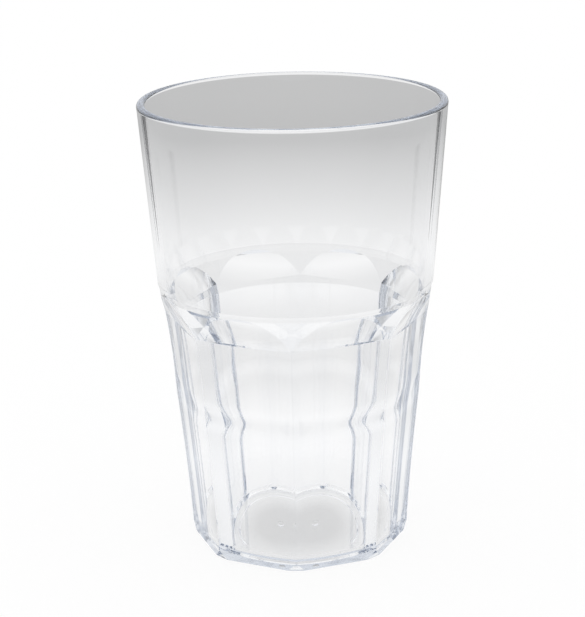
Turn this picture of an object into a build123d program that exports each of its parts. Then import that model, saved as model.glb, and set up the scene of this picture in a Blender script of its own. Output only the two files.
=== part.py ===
from build123d import *
from math import cos, pi
import os

# A clear moulded tumbler in one piece. Millimetres, +Z up, standing on z = 0 with its axis on Z.
# Outside, the lower body has eight flats in two tiers, and the round upper body stands out over them
# as a ring line. The cavity is round all the way down, and its wall steps in where the flats do.

# Overall size
height = 131.0
rim_radius = 44.0

# Ring line, where the round upper body stands out over the shoulder
ring_height = 78.5
ring_inset = 4.1
ring_step = 0.25

# Flats of the lower body. The size of a flat is its distance from the axis at its middle, and a slope
# is how far it leans out for each millimetre of height. Each tier is hollow from foot to head.
flat_count = 8
foot_flat_inset = 10.2
lower_tier_spread = 3.4
lower_tier_slope = 0.06
tier_height = 44.0
upper_tier_spread = 2.25
upper_tier_slope = 0.042

# Bevel over each flat, hollow too, which ends in an arch just under the ring line
bevel_height = 68.4
bevel_slope = 0.38
bevel_head_drop = 0.5

# Land, the narrow strip of round skin that is left between two flats
land_width = 0.3

# Foot: the ridges lean in to a rounder outline at the bottom, and the underside has a shallow recess
# with the gate mark in it. The recess is set in from the flats.
foot_edge_height = 2.4
foot_edge_inset = 0.9
recess_inset = 7.2
recess_depth = 0.6
recess_draft = 45.0
gate_radius = 1.6
gate_height = 0.5

# Cavity. Walls are measured square to the axis, from the middle of a flat or from the ring and rim.
# Each of its two shoulders starts a little below the edge of the flats outside and ends above it.
floor_thickness = 2.3
corner_chamfer = 1.2
foot_wall = 2.8
belt_drop = 3.0
belt_wall = 3.0
belt_rise = 2.6
belt_head_wall = 1.5
shoulder_drop = 0.9
shoulder_wall = 2.3
shoulder_head_drop = 2.0
shoulder_head_wall = 2.6
rim_wall = 2.4
belt_blend = 5.0

# Lip
lip_round = 1.0

# Facts that follow from the sizes above. The ring is set in from the rim, and the flats from the ring.
half_flat = pi / flat_count
ring_radius = rim_radius - ring_inset
foot_flat = ring_radius - foot_flat_inset
tier_flat = foot_flat + lower_tier_spread
bevel_flat = tier_flat + upper_tier_spread
recess_radius = foot_flat - recess_inset
cutter_radius = rim_radius + ring_step

def ridge(flat):
    """Radius of the skin that leaves a land of the stated width between flats of this size."""
    return flat / cos(half_flat - land_width / (2 * flat))

def tiers(size):
    """The two hollow tiers as arcs, for the flats themselves or for the skin between them."""
    stretch = size(tier_flat) / tier_flat
    foot = (size(foot_flat), foot_edge_height)
    middle = (size(tier_flat), tier_height)
    head = (size(bevel_flat), bevel_height)
    TangentArc(foot, middle, tangent=(lower_tier_slope * stretch, 1))
    TangentArc(middle, head, tangent=(upper_tier_slope * stretch, 1))
    return foot, head

flat_planes = [Plane.XZ.rotated((0, 0, (i + 0.5) * 360 / flat_count)) for i in range(flat_count)]

with BuildPart() as tumbler:
    # Round skin: foot, lands, shoulder, ring line and upper body
    with BuildSketch(Plane.XZ):
        with BuildLine():
            skin_foot, skin_head = tiers(ridge)
            Polyline(
                skin_head,
                (ring_radius - ring_step, ring_height),
                (ring_radius, ring_height),
                (rim_radius, height),
                (0, height),
                (0, 0),
                (skin_foot[0] - foot_edge_inset, 0),
                skin_foot,
            )
        make_face()
    revolve(axis=Axis.Z)

    # Flats: each cutter is the space outside one column of flats, with the bevel above it
    with BuildSketch(*flat_planes):
        with BuildLine():
            flat_foot, flat_head = tiers(float)
            bevel_head = (ring_radius, ring_height - bevel_head_drop)
            TangentArc(flat_head, bevel_head, tangent=(bevel_slope, 1))
            Polyline(
                bevel_head,
                (cutter_radius, bevel_head[1]),
                (cutter_radius, 0),
                (flat_foot[0], 0),
                flat_foot,
            )
        make_face()
    extrude(amount=rim_radius, both=True, mode=Mode.SUBTRACT)

    # Cavity
    cavity_corner = (foot_flat - foot_wall, floor_thickness)
    belt_head = (tier_flat - belt_head_wall, tier_height + belt_rise)
    with BuildSketch(Plane.XZ) as cavity:
        with BuildLine():
            Polyline(
                (0, floor_thickness),
                cavity_corner,
                (tier_flat - belt_wall, tier_height - belt_drop),
                belt_head,
                (bevel_flat - shoulder_wall, bevel_height - shoulder_drop),
                (ring_radius - shoulder_head_wall, ring_height - shoulder_head_drop),
                (rim_radius - rim_wall, height),
                (0, height),
                close=True,
            )
        make_face()
        chamfer(cavity.vertices().sort_by_distance(cavity_corner)[0], corner_chamfer)
        fillet(cavity.vertices().sort_by_distance(belt_head)[0], belt_blend)
    revolve(axis=Axis.Z, mode=Mode.SUBTRACT)

    # Lip
    fillet(tumbler.edges().group_by(Axis.Z)[-1], lip_round)

    # Underside
    with BuildSketch():
        Circle(recess_radius)
    extrude(amount=recess_depth, taper=recess_draft, mode=Mode.SUBTRACT)
    with BuildSketch(Plane.XY.offset(recess_depth)):
        Circle(gate_radius)
    extrude(amount=-gate_height)

os.makedirs("parts", exist_ok=True)
tumbler.part.label = "tumbler"
export_step(tumbler.part, "parts/tumbler.step")
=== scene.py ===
from math import acos, cos, pi, radians, sin, sqrt, tan

import bmesh
import bpy
from mathutils import Matrix, Vector


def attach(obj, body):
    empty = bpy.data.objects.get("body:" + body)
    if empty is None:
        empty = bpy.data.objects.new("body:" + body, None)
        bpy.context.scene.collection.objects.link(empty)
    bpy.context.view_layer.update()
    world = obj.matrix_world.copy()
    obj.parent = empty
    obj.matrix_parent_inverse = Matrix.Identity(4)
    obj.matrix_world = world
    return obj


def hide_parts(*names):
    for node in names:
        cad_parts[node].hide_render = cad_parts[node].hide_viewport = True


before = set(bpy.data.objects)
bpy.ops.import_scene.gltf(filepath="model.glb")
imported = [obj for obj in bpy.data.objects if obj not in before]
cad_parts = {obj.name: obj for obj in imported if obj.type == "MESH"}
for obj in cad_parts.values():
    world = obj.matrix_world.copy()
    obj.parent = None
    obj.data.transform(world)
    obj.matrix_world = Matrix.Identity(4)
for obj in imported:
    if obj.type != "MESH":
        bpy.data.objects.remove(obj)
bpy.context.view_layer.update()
scene = bpy.context.scene


# Small helpers for colours and nodes

def colour(code, alpha=1.0):
    """An sRGB hex code as the linear colour that the shaders take."""
    parts = [int(code[i : i + 2], 16) / 255 for i in (1, 3, 5)]
    linear = [c / 12.92 if c <= 0.04045 else ((c + 0.055) / 1.055) ** 2.4 for c in parts]
    return (*linear, alpha)


def add(tree, kind, links=None, **settings):
    """Adds a node, fills its sockets from values or from other nodes' outputs, and sets its options."""
    node = tree.nodes.new(kind)
    for name, value in settings.items():
        setattr(node, name, value)
    for name, value in (links or {}).items():
        if isinstance(value, bpy.types.NodeSocket):
            tree.links.new(value, node.inputs[name])
        else:
            node.inputs[name].default_value = value
    return node


def empty_tree(owner):
    owner.use_nodes = True
    owner.node_tree.nodes.clear()
    return owner.node_tree


# Clear polycarbonate, moulded in one shot against polished steel. The steel's polish leaves the skin
# glossy with no grain to it. The plastic bends light strongly, and light that goes a long way inside it,
# in the foot and along the walls, comes out a faint lavender blue. The skin keeps a slight swell from the
# plastic's shrinking in the mould, longer up the wall, as the plastic flowed, than across it. The swell's
# sizes are in millimetres, and the tint's density is for each metre of plastic.

swell_width, swell_length = 11.0, 45.0
swell_height, swell_strength = 0.02, 0.04
plastic_ior = 1.585
tint, tint_density = "#90a4c0", 9.5


def clear_polycarbonate():
    material = bpy.data.materials.new("clear_polycarbonate")
    tree = empty_tree(material)
    scale = (1000 / swell_width, 1000 / swell_width, 1000 / swell_length)
    where = add(tree, "ShaderNodeTexCoord")
    flow = add(tree, "ShaderNodeMapping", {"Vector": where.outputs["Object"], "Scale": scale})
    swell = add(tree, "ShaderNodeTexNoise", {"Vector": flow.outputs["Vector"], "Scale": 1.0, "Detail": 2.0})
    skin = add(
        tree,
        "ShaderNodeBump",
        {"Height": swell.outputs["Fac"], "Strength": swell_strength, "Distance": swell_height / 1000},
    )
    plastic = add(
        tree,
        "ShaderNodeBsdfPrincipled",
        {
            "Base Color": colour("#ffffff"),
            "Roughness": 0.0,
            "IOR": plastic_ior,
            "Transmission Weight": 1.0,
            "Normal": skin.outputs["Normal"],
        },
    )
    depth = add(tree, "ShaderNodeVolumeAbsorption", {"Color": colour(tint), "Density": tint_density})
    add(
        tree,
        "ShaderNodeOutputMaterial",
        {"Surface": plastic.outputs["BSDF"], "Volume": depth.outputs["Volume"]},
    )
    return material


# The tumbler again, from the same sizes as its solid, in finer facets: light bends at every one of them,
# so coarse ones would show as bands. Sizes are in millimetres.

# Overall size and ring line
height = 131.0
rim_radius = 44.0
ring_height = 78.5
ring_inset = 4.1
ring_step = 0.25

# Flats in two hollow tiers, with a land of round skin between neighbours and a hollow bevel over each. The
# size of a flat is its distance from the axis, and a slope is its lean for each millimetre of height.
flat_count = 8
foot_flat_inset = 10.2
lower_tier_spread = 3.4
lower_tier_slope = 0.06
tier_height = 44.0
upper_tier_spread = 2.25
upper_tier_slope = 0.042
bevel_height = 68.4
bevel_slope = 0.38
bevel_head_drop = 0.5
land_width = 0.3

# Foot, with a shallow recess and the gate mark in its underside
foot_edge_height = 2.4
foot_edge_inset = 0.9
recess_inset = 7.2
recess_depth = 0.6
gate_radius = 1.6
gate_height = 0.5

# Cavity and lip. The corners of the lower shoulder are blended more softly than in the solid, by which
# the skin moves about a tenth of a millimetre.
floor_thickness = 2.3
corner_chamfer = 1.2
foot_wall = 2.8
belt_drop = 3.0
belt_wall = 3.0
belt_rise = 2.6
belt_head_wall = 1.5
belt_blend = 24.0
shoulder_drop = 0.9
shoulder_wall = 2.3
shoulder_head_drop = 2.0
shoulder_head_wall = 2.6
rim_wall = 2.4
lip_round = 1.0

# What follows from the sizes above
ring_radius = rim_radius - ring_inset
foot_flat = ring_radius - foot_flat_inset
tier_flat = foot_flat + lower_tier_spread
bevel_flat = tier_flat + upper_tier_spread
bevel_head = ring_height - bevel_head_drop
recess_radius = foot_flat - recess_inset
sector = 2 * pi / flat_count

# How fine the mesh is: points along a flat and a land, rows up each part, steps round a corner, and the
# halvings that find an arch's top. A support is a row this close to an edge, which keeps the shading flat
# beside it. The pinhole is the radius at which the rings stop, at the axis.
flat_steps, land_steps = 16, 24
foot_rows, lower_rows, upper_rows, bevel_rows = 4, 24, 16, 32
corner_steps = 12
support = 0.2
halvings = 40
pinhole = 0.001
same_point = 1e-7
sharp_edge = radians(8)


def ridge(flat):
    """Radius of the skin that leaves a land of the stated width between flats of this size."""
    return flat / cos(sector / 2 - land_width / (2 * flat))


def hollow(foot, head, slope, z):
    """Radius at height z on the arc that leaves foot at this slope and ends in head."""
    chord = Vector(head) - Vector(foot)
    outward = Vector((1, -slope)).normalized()
    bend = chord.length_squared / (2 * chord.dot(outward))
    middle = Vector(foot) + bend * outward
    return middle.x - sqrt(bend**2 - (z - middle.y) ** 2)


def tiers(size, z):
    """Radius on the two hollow tiers, for the flats themselves or for the skin between them."""
    stretch = size(tier_flat) / tier_flat
    middle = (size(tier_flat), tier_height)
    if z < tier_height:
        return hollow((size(foot_flat), foot_edge_height), middle, lower_tier_slope * stretch, z)
    return hollow(middle, (size(bevel_flat), bevel_height), upper_tier_slope * stretch, z)


def skin_radius(z):
    if z < foot_edge_height:
        return ridge(foot_flat) - foot_edge_inset * (1 - z / foot_edge_height)
    if z < bevel_height:
        return tiers(ridge, z)
    rise = (z - bevel_height) / (ring_height - bevel_height)
    return ridge(bevel_flat) + rise * (ring_radius - ring_step - ridge(bevel_flat))


def flat_radius(z):
    if z < foot_edge_height:
        return foot_flat
    if z < bevel_height:
        return tiers(float, z)
    return hollow((bevel_flat, bevel_height), (ring_radius, bevel_head), bevel_slope, z)


def arch_top():
    """Height at which a bevel runs out into the round skin, found by halving."""
    low, high = bevel_height, bevel_head
    for _ in range(halvings):
        middle = (low + high) / 2
        low, high = (middle, high) if flat_radius(middle) < skin_radius(middle) else (low, middle)
    return low


def outline_ring(flat, skin, z):
    """Points of one ring: along each flat in turn, then along the land after it."""
    half = acos(min(1, flat / skin))
    points = []
    for k in range(flat_count):
        facing = (k + 0.5) * sector
        for i in range(flat_steps):
            aside = flat * tan(half) * (2 * i / flat_steps - 1)
            x = flat * cos(facing) - aside * sin(facing)
            y = flat * sin(facing) + aside * cos(facing)
            points.append((x, y, z))
        for i in range(land_steps):
            bearing = facing + half + (sector - 2 * half) * i / land_steps
            points.append((skin * cos(bearing), skin * sin(bearing), z))
    return points


def round_ring(radius, z, like=None):
    """A circle whose points stand at the bearings of another ring's points, or evenly round without one."""
    points = []
    for x, y, _ in like or outline_ring(1, 1, 0):
        away = sqrt(x * x + y * y)
        points.append((radius * x / away, radius * y / away, z))
    return points


def straight(start, end):
    """A straight stretch of a profile, with a support close to each end."""
    way = end - start
    step = way.normalized() * min(support, way.length / 4)
    return [start, start + step, end - step, end]


def rounded(before, corner, after, radius):
    """The arc that rounds a corner of a profile."""
    back = (before - corner).normalized()
    on = (after - corner).normalized()
    half = acos(back.dot(on)) / 2
    middle = corner + (back + on).normalized() * radius / sin(half)
    reach = radius / tan(half)
    first, last = ((corner + side * reach - middle).normalized() for side in (back, on))
    return [middle + radius * first.slerp(last, i / corner_steps) for i in range(corner_steps + 1)]


def joined(*stretches):
    """One profile through these points and arcs, with straight stretches between them."""
    points = [stretches[0][0]]
    for before, after in zip(stretches, stretches[1:]):
        points += straight(before[-1], after[0])
        points += after[1:]
    return points


def underside_rings():
    foot = outline_ring(foot_flat, skin_radius(0), 0)
    recess_top = recess_radius - recess_depth
    gate_foot = recess_depth - gate_height
    profile = [
        (pinhole, gate_foot),
        (gate_radius - support, gate_foot),
        (gate_radius, gate_foot),
        (gate_radius, recess_depth),
        (gate_radius + support, recess_depth),
        (recess_top - support, recess_depth),
        (recess_top, recess_depth),
        (recess_radius, 0),
        (recess_radius + support, 0),
    ]
    return [round_ring(radius, z, foot) for radius, z in profile]


def faceted_rings():
    """Foot, flats and bevels. The rows crowd together under the arches, where the bevels narrow fast."""
    top = arch_top()
    rows = [foot_edge_height * i / foot_rows for i in range(foot_rows)]
    rows += [foot_edge_height + (tier_height - foot_edge_height) * i / lower_rows for i in range(lower_rows)]
    rows += [tier_height + (bevel_height - tier_height) * i / upper_rows for i in range(upper_rows)]
    rows += [top - (top - bevel_height) * (1 - i / bevel_rows) ** 2 for i in range(bevel_rows + 1)]
    return [outline_ring(flat_radius(z), skin_radius(z), z) for z in rows]


def round_rings():
    """Ring line, upper body, lip and cavity, from the ring line up, over the lip and down to the axis."""
    ring_line = Vector((ring_radius, ring_height))
    rim = Vector((rim_radius, height))
    rim_inside = Vector((rim_radius - rim_wall, height))
    shoulder_head = Vector((ring_radius - shoulder_head_wall, ring_height - shoulder_head_drop))
    shoulder_foot = Vector((bevel_flat - shoulder_wall, bevel_height - shoulder_drop))
    belt_head = Vector((tier_flat - belt_head_wall, tier_height + belt_rise))
    belt_foot = Vector((tier_flat - belt_wall, tier_height - belt_drop))
    corner = Vector((foot_flat - foot_wall, floor_thickness))
    up_the_wall = (belt_foot - corner).normalized()
    profile = joined(
        [ring_line - Vector((ring_step, 0))],
        [ring_line],
        rounded(ring_line, rim, rim_inside, lip_round),
        rounded(rim, rim_inside, shoulder_head, lip_round),
        [shoulder_head],
        [shoulder_foot],
        rounded(shoulder_foot, belt_head, belt_foot, belt_blend),
        rounded(belt_head, belt_foot, corner, belt_blend),
        [corner + corner_chamfer * up_the_wall],
        [corner - Vector((corner_chamfer, 0))],
        [Vector((pinhole, floor_thickness))],
    )
    return [round_ring(point.x, point.y) for point in profile]


def tumbler_mesh():
    """The rings joined in a row, with a cap on the first and the last."""
    rings = underside_rings() + faceted_rings() + round_rings()
    count = len(rings[0])
    points = [tuple(c / 1000 for c in point) for ring in rings for point in ring]
    faces = []
    for row in range(len(rings) - 1):
        for i in range(count):
            j = (i + 1) % count
            faces.append([row * count + i, row * count + j, (row + 1) * count + j, (row + 1) * count + i])
    faces.append(list(reversed(range(count))))
    faces.append([(len(rings) - 1) * count + i for i in range(count)])
    mesh = bpy.data.meshes.new("tumbler_skin")
    mesh.from_pydata(points, [], faces)
    shape = bmesh.new()
    shape.from_mesh(mesh)
    bmesh.ops.remove_doubles(shape, verts=shape.verts, dist=same_point)
    bmesh.ops.dissolve_degenerate(shape, edges=shape.edges, dist=same_point)
    for face in shape.faces:
        face.smooth = True
    shape.to_mesh(mesh)
    shape.free()
    mesh.set_sharp_from_angle(angle=sharp_edge)
    return mesh


tumbler = bpy.data.objects.new("tumbler_skin", tumbler_mesh())
scene.collection.objects.link(tumbler)
tumbler.data.materials.append(clear_polycarbonate())
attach(tumbler, "root")
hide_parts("tumbler")


# White sweep. The camera sees it plain white, with a faint shadow. What the plastic shows of it is painted
# light and shade after the studio's light: painted shade dull under the tumbler, a painted pool of light
# bright round it and more so in front, a painted shadow band behind it, and a painted fall to grey far off.
# Each row below is a distance from the tumbler's axis in metres and the grey painted there. Most of the
# sweep's tone is its own glow, which keeps it even, and the rest is matt and takes the real shadow.

# Painted light and shade behind the tumbler, which only the plastic shows: painted shade under it, a painted
# pool of light round it, a painted shadow band further back, and a painted fall to grey far off.
painted_light_and_shade_behind = (
    (0.00, 0.60),
    (0.012, 0.61),
    (0.02, 0.78),
    (0.03, 0.95),
    (0.07, 1.00),
    (0.11, 0.93),
    (0.16, 0.81),
    (0.22, 0.82),
    (0.29, 0.95),
    (0.34, 0.895),
    (0.41, 0.765),
    (0.50, 0.62),
    (0.56, 0.515),
    (0.69, 0.54),
    (1.50, 0.58),
)
# Painted light and shade in front of the tumbler, which only the plastic shows: painted shade under it, a
# painted pool of light round it brighter than white, and a painted fall to grey far off.
painted_light_and_shade_in_front = (
    (0.00, 0.60),
    (0.012, 0.61),
    (0.02, 0.78),
    (0.03, 0.96),
    (0.07, 1.06),
    (0.11, 1.10),
    (0.29, 1.03),
    (0.41, 0.90),
    (0.56, 0.70),
    (0.69, 0.66),
    (1.50, 0.64),
)
sweep_radius = 6
sweep_corners = 128
sweep_drop = 0.00005
sweep_glow = 0.9

# How far forward a place lies as seen from the axis, from -1 straight in front to 1 straight behind
front_end, behind_start = -0.85, -0.35


def painted_tone_ramp(tree, tones, place):
    """A painted grey of light and shade by distance, from rows of a distance and a tone."""
    reach = tones[-1][0]
    share = add(tree, "ShaderNodeMath", {0: place, 1: reach}, operation="DIVIDE")
    ramp = add(tree, "ShaderNodeValToRGB", {"Fac": share.outputs[0]})
    steps = ramp.color_ramp.elements
    steps.remove(steps[1])
    steps[0].color = (*[tones[0][1]] * 3, 1)
    for away, grey in tones[1:]:
        steps.new(away / reach).color = (grey, grey, grey, 1)
    return ramp.outputs["Color"]


def through_plastic(tree):
    """1 for rays that the plastic sends on, 0 for the camera's own and for soft light between matt things."""
    ray = add(tree, "ShaderNodeLightPath")
    by_plastic = add(
        tree,
        "ShaderNodeMath",
        {0: ray.outputs["Is Transmission Ray"], 1: ray.outputs["Is Glossy Ray"]},
        operation="MAXIMUM",
    )
    direct = add(tree, "ShaderNodeMath", {0: ray.outputs["Diffuse Depth"], 1: 0.5}, operation="LESS_THAN")
    seen = add(tree, "ShaderNodeMath", {0: by_plastic.outputs[0], 1: direct.outputs[0]}, operation="MULTIPLY")
    return seen.outputs[0]


def sweep_material():
    material = bpy.data.materials.new("white_sweep")
    tree = empty_tree(material)
    place = add(tree, "ShaderNodeNewGeometry")
    away = add(tree, "ShaderNodeVectorMath", {0: place.outputs["Position"]}, operation="LENGTH")
    bearing = add(tree, "ShaderNodeVectorMath", {0: place.outputs["Position"]}, operation="NORMALIZE")
    parts = add(tree, "ShaderNodeSeparateXYZ", {0: bearing.outputs["Vector"]})
    behind = add(
        tree,
        "ShaderNodeMapRange",
        {"Value": parts.outputs["Y"], "From Min": front_end, "From Max": behind_start},
    )
    # Painted light and shade on the sweep by place, front and behind blended. Only rays that the plastic
    # sends on see it.
    painted_by_place = add(
        tree,
        "ShaderNodeMix",
        {
            "Factor": behind.outputs["Result"],
            "A": painted_tone_ramp(tree, painted_light_and_shade_in_front, away.outputs["Value"]),
            "B": painted_tone_ramp(tree, painted_light_and_shade_behind, away.outputs["Value"]),
        },
        data_type="RGBA",
    )
    paint = add(
        tree,
        "ShaderNodeMix",
        {"Factor": through_plastic(tree), "A": colour("#ffffff"), "B": painted_by_place.outputs["Result"]},
        data_type="RGBA",
    )
    matt = add(tree, "ShaderNodeBsdfDiffuse", {"Color": paint.outputs["Result"]})
    glow = add(tree, "ShaderNodeEmission", {"Color": paint.outputs["Result"], "Strength": 1.0})
    both = add(
        tree,
        "ShaderNodeMixShader",
        {0: sweep_glow, 1: matt.outputs["BSDF"], 2: glow.outputs["Emission"]},
    )
    add(tree, "ShaderNodeOutputMaterial", {"Surface": both.outputs["Shader"]})
    return material


bpy.ops.mesh.primitive_circle_add(
    vertices=sweep_corners,
    radius=sweep_radius,
    fill_type="NGON",
    location=(0, 0, -sweep_drop),
)
sweep = bpy.context.object
sweep.name = "white_sweep"
sweep.data.materials.append(sweep_material())


# Black flags: two cards hang point down to the left and right behind the tumbler, out of the picture.
# Only the plastic shows them, as the thin dark lines along its sides.

flag_bearing = radians(44)
flag_away = 0.26
flag_width = 0.034
flag_foot = 0.012
flag_head = 0.074


def black_card():
    material = bpy.data.materials.new("black_card")
    tree = empty_tree(material)
    soot = add(tree, "ShaderNodeEmission", {"Color": colour("#1c1c20"), "Strength": 1.0})
    add(tree, "ShaderNodeOutputMaterial", {"Surface": soot.outputs["Emission"]})
    return material


def black_flag(bearing, card):
    """A card that hangs point down at this bearing and faces the tumbler."""
    corners = [(-flag_width / 2, 0, flag_head), (flag_width / 2, 0, flag_head), (0, 0, flag_foot)]
    mesh = bpy.data.meshes.new("black_flag")
    mesh.from_pydata(corners, [], [(0, 1, 2)])
    mesh.materials.append(card)
    flag = bpy.data.objects.new("black_flag", mesh)
    scene.collection.objects.link(flag)
    flag.location = (flag_away * sin(bearing), flag_away * cos(bearing), 0)
    flag.rotation_euler = (0, 0, -bearing)
    flag.visible_camera = False
    flag.visible_diffuse = False
    flag.visible_shadow = False


card_black = black_card()
for side in (-1, 1):
    black_flag(side * flag_bearing, card_black)


# Soft white light from all round. The plastic shows it a little dimmer towards the horizon: each row is a
# height on the dome, from 0 at the horizon to 1 overhead, and the colour there.

dome = ((0.0, "#edeff2"), (0.20, "#f0f0f0"), (0.38, "#ffffff"), (1.0, "#ffffff"))


def surroundings():
    world = bpy.data.worlds.new("surroundings")
    scene.world = world
    tree = empty_tree(world)
    direction = add(tree, "ShaderNodeTexCoord")
    parts = add(tree, "ShaderNodeSeparateXYZ", {0: direction.outputs["Generated"]})
    room = add(tree, "ShaderNodeValToRGB", {"Fac": parts.outputs["Z"]})
    steps = room.color_ramp.elements
    steps.remove(steps[1])
    steps[0].color = colour(dome[0][1])
    for up, shade in dome[1:]:
        steps.new(up).color = colour(shade)
    light = add(
        tree,
        "ShaderNodeMix",
        {"Factor": through_plastic(tree), "A": colour("#ffffff"), "B": room.outputs["Color"]},
        data_type="RGBA",
    )
    white = add(tree, "ShaderNodeBackground", {"Color": light.outputs["Result"], "Strength": 1.0})
    add(tree, "ShaderNodeOutputWorld", {"Surface": white.outputs["Background"]})


surroundings()


# Camera: above the rim, looking down at the tumbler, turned so that a ridge of the lower body faces it.
# The focal length is in pixels of a picture this high, lengths are in metres and angles in radians.

frame_height = 617
focal = 1881.29
distance = 0.52396
eye_height = 0.23022
yaw = -0.0020
pitch = 0.2985
roll = -0.0192
turn = radians(2.31)
far_end = 100


def place_camera():
    forward = Vector((sin(yaw) * cos(pitch), cos(yaw) * cos(pitch), -sin(pitch)))
    level = Vector((cos(yaw), -sin(yaw), 0))
    upright = level.cross(forward)
    right = cos(roll) * level + sin(roll) * upright
    up = -sin(roll) * level + cos(roll) * upright
    data = bpy.data.cameras.new("camera")
    data.lens = focal * data.sensor_width / frame_height
    data.clip_end = far_end
    camera = bpy.data.objects.new("camera", data)
    scene.collection.objects.link(camera)
    axes = Matrix((right, up, -forward)).transposed().to_4x4()
    seat = Matrix.Translation((0, -distance, eye_height))
    camera.matrix_world = Matrix.Rotation(turn, 4, "Z") @ seat @ axes
    scene.camera = camera


place_camera()

# Light passes through many walls of the plastic before it comes out
bounces = 48
scene.cycles.max_bounces = bounces
scene.cycles.glossy_bounces = bounces
scene.cycles.transmission_bounces = bounces
scene.view_settings.view_transform = "Standard"
